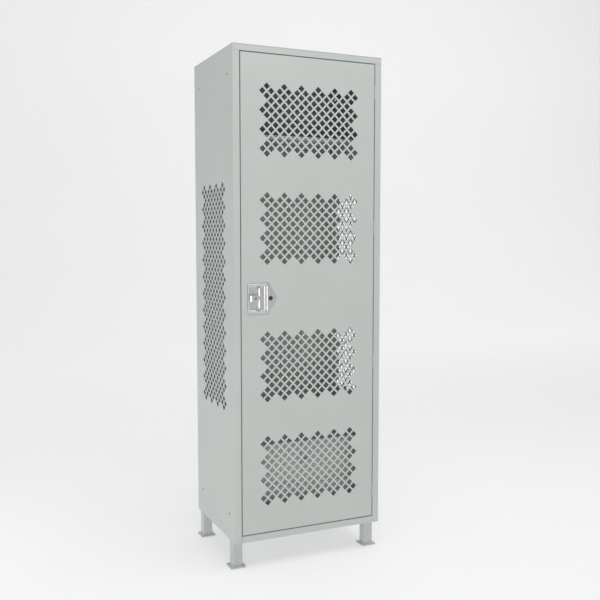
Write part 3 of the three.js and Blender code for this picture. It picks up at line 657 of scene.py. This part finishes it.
def door_face():
    outline = rectangle(door_lo.x + BEND, door_lo.z + BEND, door_hi.x - BEND, door_hi.z - BEND)
    bands = 2 * DOOR_END_BAND + 2 * DOOR_MID_BAND + DOOR_LOCK_BAND
    height = (door_hi.z - door_lo.z - bands) / 4
    starts = (
        door_lo.z + DOOR_END_BAND,
        door_middle - DOOR_LOCK_BAND / 2 - height,
        door_middle + DOOR_LOCK_BAND / 2,
        door_hi.z - DOOR_END_BAND - height,
    )
    holes = []
    for z in starts:
        near, far = door_lo.x + DOOR_FIELD_MARGIN, door_hi.x - DOOR_FIELD_MARGIN
        holes += punches(near, z, far, z + height, DOOR_STEP, DOOR_STEP)
    grow = CUP_SHEET + SEAM
    low, high = door_middle - POCKET_HALF - grow, door_middle + POCKET_HALF + grow
    holes.append(rounded_rectangle(pocket_left - grow, low, pocket_right + grow, high, CUT_CORNER_R))
    holes.append(circle(cup_lo.x + PLUG_AT, door_middle, PLUG_HOLE_R))
    return punched("y", outline, holes, front, front + DOOR_SHEET)


def door_rim():
    section = folded([(DOOR_LIP, door_depth), (0, door_depth), (0, 0), (BEND, 0)], DOOR_SHEET)
    loops = []
    for inset, depth in section:
        low, high = door_lo.z + inset, door_hi.z - inset
        outline = rectangle(door_lo.x + inset, low, door_hi.x - inset, high)
        loops.append([in_space("y", p, front + depth) for p in outline])
    return loft(loops, ring=True)


def hinge_notches():
    notches = []
    for i in range(1, 5):
        lo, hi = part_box(f"hinge_pin_{i}")
        x, y = (lo.x + hi.x) / 2, (lo.y + hi.y) / 2
        low, high = lo.z - NOTCH_ROOM, hi.z + NOTCH_ROOM
        plan = rectangle(x - NOTCH_REACH, y - NOTCH_REACH, x + NOTCH_REACH, y + NOTCH_REACH)
        notches.append(extrude("z", plan, low, high))
    return notches


def keeper_slots():
    slots = []
    x0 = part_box("latch_finger_1")[0].x - SLOT_ROOM
    plan = rectangle(x0, front + SLOT_FRONT, x0 + SLOT_WIDTH, front + SLOT_BACK)
    for i in (1, 2, 3):
        keeper_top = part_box(f"latch_keeper_{i}")[1].z
        slots.append(extrude("z", plan, keeper_top - SLOT_BELOW, keeper_top + SLOT_ABOVE))
    return slots


door = piece("door_skin", [door_face()], "grey_paint", "door", ["door_pan"], ease=0)
rim = piece("door_folded_edge", [door_rim()], "grey_paint", "door", ease=0)
carve(rim, hinge_notches() + keeper_slots())
carve(door, hinge_notches())
carve(bpy.data.objects["right_post_folded"], hinge_notches())

stiff_lo, stiff_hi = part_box("door_stiffener")
stiffener = folded(
    [
        (stiff_hi.x, stiff_lo.y),
        (stiff_hi.x, stiff_hi.y),
        (stiff_lo.x, stiff_hi.y),
        (stiff_lo.x, stiff_lo.y),
    ]
)
solid = extrude("z", stiffener, stiff_lo.z, stiff_hi.z)
piece("door_stiffener_folded", [solid], "grey_paint", "door", ["door_stiffener"])


# ---- Hinges ----
KNUCKLE_BORE_ROOM = 0.00005
KNUCKLE_CHAMFER = 0.0003
LEAF_CORNER_R = 0.002
LEAF_ROOM = 0.0004  # the plate's edge to the knuckles
LEAF_OVERLAP = 0.001  # a knuckle's root on its plate
BORE_WALL = 0.0006
PIN_CHAMFER = 0.0004
LEAF_FROM_BACK = 0.002  # the leaves end before the door's back


def knuckle(z0, z1, radius):
    inner = PIN_R + KNUCKLE_BORE_ROOM
    profile = [
        (inner, z0),
        (radius - KNUCKLE_CHAMFER, z0),
        (radius, z0 + KNUCKLE_CHAMFER),
        (radius, z1 - KNUCKLE_CHAMFER),
        (radius - KNUCKLE_CHAMFER, z1),
        (inner, z1),
    ]
    return lathe("z", (0, 0), profile, ring=True)


def hinge_leaf(length, radius, face, width, own):
    """A leaf round a pin that lies along z, with its plate along y, as in the CAD part."""
    side = math.copysign(1, width)
    near, far = sorted((side * (radius + LEAF_ROOM), width))
    near_r, far_r = (0, LEAF_CORNER_R) if side > 0 else (LEAF_CORNER_R, 0)
    low, high = -length / 2, length / 2
    plate = rounded([(near, low, near_r), (far, low, far_r), (far, high, far_r), (near, high, near_r)])
    solids = [extrude("x", plate, *face)]
    pitch = length / KNUCKLES
    for k in own:
        z0 = -length / 2 + k * pitch + KNUCKLE_GAP / 2
        z1 = z0 + pitch - KNUCKLE_GAP
        solids.append(knuckle(z0, z1, radius))
        y0, y1 = sorted((side * (PIN_R + BORE_WALL), side * (radius + LEAF_OVERLAP)))
        solids.append(block(*face, y0, y1, z0, z1))
    return solids


def pin_shape(length):
    half = length / 2
    profile = [
        (PIN_R - PIN_CHAMFER, -half),
        (PIN_R, -half + PIN_CHAMFER),
        (PIN_R, half - PIN_CHAMFER),
        (PIN_R - PIN_CHAMFER, half),
    ]
    return lathe("z", (0, 0), profile)


leaf_outer = (door_lo.x - left - POST_FACE) / 2 - SEAM
for i in range(1, 5):
    pin = f"hinge_pin_{i}"
    lo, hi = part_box(pin)
    at = (lo + hi) / 2
    length = hi.z - lo.z
    depth = door_hi.y - LEAF_FROM_BACK - at.y
    for holder, face, own, body in (
        ("frame", (SEAM, leaf_outer), (0, 2, 4), "cabinet"),
        ("door", (-leaf_outer, -SEAM), (1, 3), "door"),
    ):
        leaf = f"hinge_{holder}_leaf_{i}"
        solids = [moved(s, at) for s in hinge_leaf(length, KNUCKLE_R, face, depth, own)]
        piece(f"{leaf}_rolled", solids, "grey_paint", body, [leaf], ease=0)
    piece(f"{pin}_turned", [moved(pin_shape(length), at)], "zinc", "cabinet", [pin], ease=0)

# ---- Shelf, hooks and foot locker ----
shelf_lo, shelf_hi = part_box("hat_shelf")
SHELF_FLANGE = 0.017
SHELF_HEM = 0.012
shelf = folded(
    [
        (shelf_hi.y, shelf_hi.z - SHELF_FLANGE),
        (shelf_hi.y, shelf_hi.z),
        (shelf_lo.y, shelf_hi.z),
        (shelf_lo.y, shelf_hi.z - SHELF_FLANGE),
        (shelf_lo.y + SHELF_HEM, shelf_hi.z - SHELF_FLANGE),
    ]
)
solid = extrude("x", shelf, shelf_lo.x, shelf_hi.x)
piece("hat_shelf_folded", [solid], "grey_paint", "cabinet", ["hat_shelf"])


HOOK_SHEET = 0.003
HOOK_BEND = 0.0075
HOOK_TIP = 0.023
HOOK_SCREW_DROP = 0.008
HOOK_SCREW_HEAD = ((0.0001, 0.0022), (0.0022, 0.0018), (0.0034, 0.0008), (0.0036, 0.0))  # radius, height


def coat_hook():
    lo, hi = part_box("coat_hook_left")
    line = [(lo.x, hi.z), (lo.x, lo.z), (hi.x, lo.z), (hi.x, lo.z + HOOK_TIP)]
    section = folded(line, HOOK_SHEET, HOOK_BEND)
    screw = [(radius, lo.x + HOOK_SHEET + height) for radius, height in HOOK_SCREW_HEAD]
    screw_at = ((lo.y + hi.y) / 2, hi.z - HOOK_SCREW_DROP)
    return [extrude("y", section, lo.y, hi.y), lathe("x", screw_at, screw)]


for side, across in SIDES:
    hook = [across(s) for s in coat_hook()]
    piece(f"coat_hook_{side}_bent", hook, "zinc", "cabinet", [f"coat_hook_{side}"], ease=0.0007)

RETURN_FLANGE = 0.015
lo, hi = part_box("footlocker_front")
groove = bottom + GROOVE_TOP
front_line = [
    (lo.y + RETURN_FLANGE, hi.z),
    (lo.y, hi.z),
    (lo.y, groove),
    (lo.y + GROOVE_DEPTH, groove),
    (lo.y + GROOVE_DEPTH, groove - GROOVE_HEIGHT),
    (lo.y, groove - GROOVE_HEIGHT),
    (lo.y, lo.z),
    (lo.y + RETURN_FLANGE, lo.z),
]
solid = extrude("x", folded(front_line), lo.x, hi.x)
piece("footlocker_front_folded", [solid], "grey_paint", "cabinet", ["footlocker_front"])

lo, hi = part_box("footlocker_ledge")
ledge = folded([(hi.y, lo.z), (hi.y, hi.z), (lo.y, hi.z), (lo.y, lo.z)])
solid = extrude("x", ledge, lo.x, hi.x)
piece("footlocker_ledge_folded", [solid], "grey_paint", "cabinet", ["footlocker_ledge"])

lo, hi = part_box("footlocker_lid")
lid = folded([(hi.y, hi.z), (lo.y, hi.z), (lo.y, lo.z)])
solid = extrude("x", lid, lo.x, hi.x)
piece("footlocker_lid_folded", [solid], "grey_paint", "footlocker_lid", ["footlocker_lid"])


LID_LEAF_WIDTH = 0.025
LID_LEAF_SHEET = 0.0015
LID_SCREW_OUT = 0.62  # of the leaf's width
LID_SCREW_APART = 0.32  # of the leaf's length
LID_SCREW_HEAD = ((0.0001, 0.0011), (0.0018, 0.0009), (0.0028, 0.0002), (0.0029, -0.0002))  # radius, height


def lid_leaf(length, width, own):
    """A leaf of the lid's hinges with its three screws, before it is laid along x."""
    plate_face = KNUCKLE_R - LID_LEAF_SHEET
    solids = hinge_leaf(length, KNUCKLE_R, (plate_face, KNUCKLE_R), width, own)
    head = [(radius, plate_face - height) for radius, height in LID_SCREW_HEAD]
    for share in (-LID_SCREW_APART, 0, LID_SCREW_APART):
        solids.append(lathe("x", (width * LID_SCREW_OUT, length * share), head))
    return solids


for side in ("left", "right"):
    pin = f"lid_hinge_pin_{side}"
    lo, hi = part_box(pin)
    at = (lo + hi) / 2
    length = hi.x - lo.x
    for holder, width, own, body in (
        ("ledge", LID_LEAF_WIDTH, (0, 2, 4), "cabinet"),
        ("lid", -LID_LEAF_WIDTH, (1, 3), "footlocker_lid"),
    ):
        leaf = f"lid_hinge_{holder}_leaf_{side}"
        solids = [moved(laid_along_x(s), at) for s in lid_leaf(length, width, own)]
        piece(f"{leaf}_rolled", solids, "zinc", body, [leaf], ease=0)
    solid = moved(laid_along_x(pin_shape(length)), at)
    piece(f"{pin}_turned", [solid], "zinc", "cabinet", [pin], ease=0)

# ---- Nodes that keep their CAD mesh, with eased edges ----
for name in ("back_panel", "bottom_panel", "left_door_strike", "right_door_strike"):
    dress(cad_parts[name], "grey_paint")
for name in ("lid_padlock_lug", "footlocker_padlock_lug", "latch_bar"):
    dress(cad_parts[name], "zinc")
for i in (1, 2, 3):
    for name in (f"latch_finger_{i}", f"latch_guide_{i}", f"latch_keeper_{i}"):
        dress(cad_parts[name], "zinc")
for i in (1, 2):
    dress(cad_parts[f"door_bumper_{i}"], "rubber")


# ---- Recessed lock ----
CUP_TIP = 0.118
SHOULDER_R = 0.010
TIP_R = 0.009
PLATE_EDGE_R = 0.001
PLATE_CUT_EASE = 0.0005
MOUTH_R = 0.005
MOUTH_LIP = 0.0008  # round from the plate into the pocket
POCKET_FILLET = 0.0045
POCKET_CORNER_R = 0.0045
LEAST_CORNER_R = 0.001
POCKET_LEFT_ROOM = 0.0006
POCKET_UNDER_PLATE = 0.0004
SHADOW_GAP = 0.0028  # the plate's edge to the pan, at the left
SLOT_RIGHT = 0.0105  # the stem's slot from the handle's right edge
STEM_SLOT_WIDTH = 0.007
STEM_SLOT_BELOW, STEM_SLOT_ABOVE = 0.0095, 0.0175
BEAD_HALF = 0.0034
BEAD_HEIGHT = 0.0015
BEAD_OUT = 0.0028  # the pocket's edge to the bead's middle
BEAD_START = 0.001
BEAD_CORNER_R = 0.0058
BEAD_ROOT = 0.0006
BEAD_RISE = 0.0001


def lock_plate():
    half = (cup_hi.z - cup_lo.z) / 2
    low, high = door_middle - half, door_middle + half
    shoulder = cup_lo.x + CUP_SHOULDER
    outline = rounded(
        [
            (cup_lo.x, low, PLATE_EDGE_R),
            (shoulder, low, SHOULDER_R),
            (cup_lo.x + CUP_TIP, door_middle, TIP_R),
            (shoulder, high, SHOULDER_R),
            (cup_lo.x, high, PLATE_EDGE_R),
        ]
    )
    mouth = rounded_rectangle(
        pocket_left - SHADOW_GAP,
        door_middle - POCKET_HALF - MOUTH_LIP,
        pocket_right + MOUTH_LIP,
        door_middle + POCKET_HALF + MOUTH_LIP,
        MOUTH_R,
    )
    plug = circle(cup_lo.x + PLUG_AT, door_middle, PLUG_HOLE_R)
    return punched("y", outline, [mouth, plug], plate_front, front - SEAM, PUNCH_EASE, PLATE_CUT_EASE)


def lock_pocket():
    """The drawn pan behind the plate, with a slot in its floor for the handle's stem."""
    low, high = door_middle - POCKET_HALF, door_middle + POCKET_HALF
    outside = pocket_floor + POCKET_SHEET

    def ring(grow, y):
        radius = max(POCKET_CORNER_R + grow, LEAST_CORNER_R)
        box = (pocket_left + POCKET_LEFT_ROOM - grow, low - grow, pocket_right + grow, high + grow)
        return rounded_rectangle(*box, radius), y

    levels = [ring(POCKET_SHEET, plate_front + POCKET_UNDER_PLATE)]
    levels += [ring(rest, plate_front + gone) for gone, rest in quarter_turn(MOUTH_LIP, 3)[1:]]
    fillet = quarter_turn(POCKET_FILLET, 4)
    levels += [ring(-gone, pocket_floor - rest) for gone, rest in fillet]
    slot_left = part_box("lift_handle")[1].x - SLOT_RIGHT
    slot = rounded_rectangle(
        slot_left,
        door_middle - STEM_SLOT_BELOW,
        slot_left + STEM_SLOT_WIDTH,
        door_middle + STEM_SLOT_ABOVE,
        LEAST_CORNER_R,
    )
    levels += [(slot, pocket_floor), (slot, outside)]
    levels += [ring(POCKET_SHEET - gone, outside - rest) for gone, rest in fillet[::-1]]
    return stack("y", levels, ring=True)


def lock_bead():
    """The raised bead along the pocket's top, right and bottom."""
    x0, x1 = pocket_left - BEAD_START, pocket_right + BEAD_OUT
    half = POCKET_HALF + BEAD_OUT
    low, high = door_middle - half, door_middle + half
    corners = [Vector((x0, high)), Vector((x1, high)), Vector((x1, low)), Vector((x0, low))]
    path = [corners[0]]
    for i in (1, 2):
        path += arc_corner(corners[i - 1], corners[i], corners[i + 1], BEAD_CORNER_R, 10)
    path.append(corners[3])
    loops = []
    for p, across in zip(path, sideways(path)):
        loop = [in_space("y", p - across * BEAD_HALF, plate_front + BEAD_ROOT)]
        for k in range(9):
            angle = math.pi * k / 8
            flat = p - across * BEAD_HALF * math.cos(angle)
            loop.append(in_space("y", flat, plate_front + BEAD_RISE - BEAD_HEIGHT * math.sin(angle)))
        loop.append(in_space("y", p + across * BEAD_HALF, plate_front + BEAD_ROOT))
        loops.append(loop)
    return loft(loops)


solids = [lock_plate(), lock_pocket(), lock_bead()]
piece("lock_cup_pressed", solids, "stainless", "door", ["lock_cup"], ease=0)


# ---- Padlock staple: a strap that rises from the pocket's floor in a round bend ----
STAPLE_SHEET = 0.0017
STAPLE_BEND = 0.0115
STAPLE_CORNER_R = 0.002
STAPLE_EYE_START, STAPLE_EYE_END = 0.0175, 0.0330
STAPLE_EYE_HALF = 0.0060
RIB_PITCH = 0.0076
RIB_HALF = 0.0036
RIB_EASE = 0.0006
GROOVE_SUNK = 0.0004  # the strap between the ribs
GROOVE_END = 0.001


def staple():
    lo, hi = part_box("padlock_staple")
    face = lo.y
    start = lo.x + STAPLE_BEND
    outline = rounded(
        [
            (start, lo.z, 0),
            (hi.x, lo.z, STAPLE_CORNER_R),
            (hi.x, hi.z, STAPLE_CORNER_R),
            (start, hi.z, 0),
        ]
    )
    eye = rounded_rectangle(
        lo.x + STAPLE_EYE_START,
        door_middle - STAPLE_EYE_HALF,
        lo.x + STAPLE_EYE_END,
        door_middle + STAPLE_EYE_HALF,
        STAPLE_CORNER_R,
    )
    flat = punched("y", outline, [eye], face, face + STAPLE_SHEET, EASE, 0.0)
    line = [(start, face), (lo.x, face), (lo.x, pocket_floor - SEAM)]
    bent = folded(line, STAPLE_SHEET, STAPLE_BEND)
    ribs = []
    for z in (-RIB_PITCH, 0.0, RIB_PITCH):
        middle = door_middle + z
        ribs.append(cushion("z", bent, middle - RIB_HALF, middle + RIB_HALF, RIB_EASE))
    strap = extrude("z", offset(bent, -GROOVE_SUNK), lo.z + GROOVE_END, hi.z - GROOVE_END)
    return [flat, *ribs, strap]


piece("padlock_staple_bent", staple(), "stainless", "door", ["padlock_staple"], ease=0)


# ---- Lift handle: two rounded finger tabs, an ear behind the staple and a stem ----
TAB_WIDTH = 0.0172
TAB_ROUND = 0.0080  # less than half the width, and than the depth
TAB_SPLIT = 0.0075  # lock's middle to each tab
TAB_FLOOR_ROOM = 0.0022  # clears the pocket's rounded floor when lifted
TAB_EASE = 0.0016
BRIDGE_OVERLAP = 0.002
BRIDGE_INSET = 0.001
BRIDGE_SUNK = 0.0018
EAR_HALF = 0.008
EAR_OVERLAP = 0.003
EAR_CORNER_R = 0.0015
EAR_SHEET = 0.0025
EYE_WIDTH = 0.014
EYE_HALF = 0.005
STEM_FROM_RIGHT = 0.0095
STEM_WIDTH = 0.004
STEM_HALF = 0.008


def lift_handle():
    lo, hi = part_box("lift_handle")
    x0, x1 = hi.x - TAB_WIDTH, hi.x
    back_y = lo.y + EAR_SHEET
    tab_back = pocket_floor - TAB_FLOOR_ROOM
    corners = [(x0, tab_back, 0), (x0, lo.y, TAB_ROUND), (x1, lo.y, TAB_ROUND), (x1, tab_back, 0)]
    section = rounded(corners, 10)
    tabs = []
    for z0, z1 in ((lo.z, door_middle - TAB_SPLIT), (door_middle + TAB_SPLIT, hi.z)):
        tabs.append(cushion("z", section, z0, z1, TAB_EASE))
    bridge_half = TAB_SPLIT + BRIDGE_OVERLAP
    bridge = block(
        x0 + BRIDGE_INSET,
        x1 - BRIDGE_INSET,
        lo.y + BRIDGE_SUNK,
        back_y + BRIDGE_SUNK,
        door_middle - bridge_half,
        door_middle + bridge_half,
    )
    ear_outline = rounded_rectangle(
        lo.x,
        door_middle - EAR_HALF,
        x0 + EAR_OVERLAP,
        door_middle + EAR_HALF,
        EAR_CORNER_R,
    )
    eye_right = x0 - (x0 - lo.x - EYE_WIDTH) / 2
    eye = rectangle(eye_right - EYE_WIDTH, door_middle - EYE_HALF, eye_right, door_middle + EYE_HALF)
    ear = punched("y", ear_outline, [eye], lo.y, back_y, PUNCH_EASE, EASE)
    stem_left = x1 - STEM_FROM_RIGHT
    stem = block(
        stem_left,
        stem_left + STEM_WIDTH,
        back_y,
        hi.y,
        door_middle - STEM_HALF,
        door_middle + STEM_HALF,
    )
    return [*tabs, bridge, ear, stem]


piece("lift_handle_formed", lift_handle(), "stainless", "latch", ["lift_handle"], ease=0)

# ---- Plug in the hole for a built-in lock ----
PLUG_STEM_R = 0.0065
plug_lo, plug_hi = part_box("lock_hole_plug")
plug_centre = ((plug_lo.x + plug_hi.x) / 2, (plug_lo.z + plug_hi.z) / 2)
head = (plug_hi.x - plug_lo.x) / 2
plug_profile = [
    (PLUG_STEM_R, plug_hi.y),
    (PLUG_STEM_R, plate_front - SEAM),
    (head - 0.0002, plate_front - 0.0002),
    (head, plate_front - 0.0005),
    (head - 0.0004, plate_front - 0.0009),
    (head - 0.0022, plug_lo.y + 0.0002),
    (head - 0.0040, plug_lo.y),
    (0.0030, plug_lo.y + 0.0003),
    (0.0001, plug_lo.y + 0.0004),
]
solid = lathe("y", plug_centre, plug_profile)
piece("lock_hole_plug_moulded", [solid], "black_plastic", "door", ["lock_hole_plug"], ease=0)

# ---- Studio: paper sweep, soft lights and camera ----
WORLD_LIGHT = 0.55
DIM_SIDE = (0.45, -0.89, 0.0)  # the world is half as bright this way
SWEEP_HALF = 14.0
SWEEP_FRONT = -12.0
SWEEP_BACK = 9.0
SWEEP_HEIGHT = 12.0
SWEEP_R = 4.0
sweep_front = Vector((SWEEP_FRONT, 0.0))
sweep_foot = Vector((SWEEP_BACK, 0.0))
sweep_top = Vector((SWEEP_BACK, SWEEP_HEIGHT))
sweep_line = [sweep_front, *arc_corner(sweep_front, sweep_foot, sweep_top, SWEEP_R, 24), sweep_top]
vertices = [Vector((x, p.x, p.y)) for p in sweep_line for x in (-SWEEP_HALF, SWEEP_HALF)]
faces = [(2 * i, 2 * i + 1, 2 * i + 3, 2 * i + 2) for i in range(len(sweep_line) - 1)]
sweep_mesh = bpy.data.meshes.new("paper_sweep")
sweep_mesh.from_pydata(vertices, [], faces)
sweep_mesh.polygons.foreach_set("use_smooth", [True] * len(sweep_mesh.polygons))
sweep_mesh.materials.append(paper)
sweep = bpy.data.objects.new("paper_sweep", sweep_mesh)
bpy.context.scene.collection.objects.link(sweep)

world = bpy.data.worlds.new("studio")
world.use_nodes = True
tree = world.node_tree
tree.nodes["Background"].inputs["Color"].default_value = (1.0, 1.0, 1.0, 1)
around = tree.nodes.new("ShaderNodeTexCoord")
facing = tree.nodes.new("ShaderNodeVectorMath")
facing.operation = "DOT_PRODUCT"
facing.inputs[1].default_value = DIM_SIDE
dimming = tree.nodes.new("ShaderNodeMapRange")
dimming.inputs["From Min"].default_value = 0.3
dimming.inputs["From Max"].default_value = 0.95
dimming.inputs["To Min"].default_value = WORLD_LIGHT
dimming.inputs["To Max"].default_value = WORLD_LIGHT * 0.5
tree.links.new(around.outputs["Generated"], facing.inputs[0])
tree.links.new(facing.outputs["Value"], dimming.inputs["Value"])
tree.links.new(dimming.outputs["Result"], tree.nodes["Background"].inputs["Strength"])
bpy.context.scene.world = world


def soft_light(name, place, aim, width, height, power):
    data = bpy.data.lights.new(name, "AREA")
    data.shape = "RECTANGLE"
    data.size, data.size_y = width, height
    data.energy = power
    light = bpy.data.objects.new(name, data)
    light.location = place
    light.rotation_euler = (Vector(aim) - Vector(place)).to_track_quat("-Z", "Y").to_euler()
    bpy.context.scene.collection.objects.link(light)


soft_light("overhead", (0.8, -1.1, 4.6), (0, 0, 0), 3.4, 3.4, 54)
soft_light("left_near", (-2.1, 0.2, 0.4), (-0.3, 0, 0.45), 1.8, 0.5, 4.6)
soft_light("front_strip", (-1.6, -3.8, 0.95), (-0.2, 0, 0.9), 3.8, 1.2, 38)
soft_light("top_front", (-0.1, -1.5, 3.0), (-0.1, 0, 1.6), 2.2, 0.8, 7.5)
soft_light("backdrop", (5.5, 3.5, 5.2), (5.5, 9.0, 3.0), 10.0, 1.5, 112)

bpy.context.scene.view_settings.view_transform = "Standard"
camera_data = bpy.data.cameras.new("camera")
camera_data.lens = 48.51
camera_data.sensor_width = 36.0
camera = bpy.data.objects.new("camera", camera_data)
camera.location = (-1.2996, -2.9894, 1.2422)
camera.rotation_euler = Vector((0.41340, 0.90735, -0.07611)).to_track_quat("-Z", "Y").to_euler()
bpy.context.scene.collection.objects.link(camera)
bpy.context.scene.camera = camera
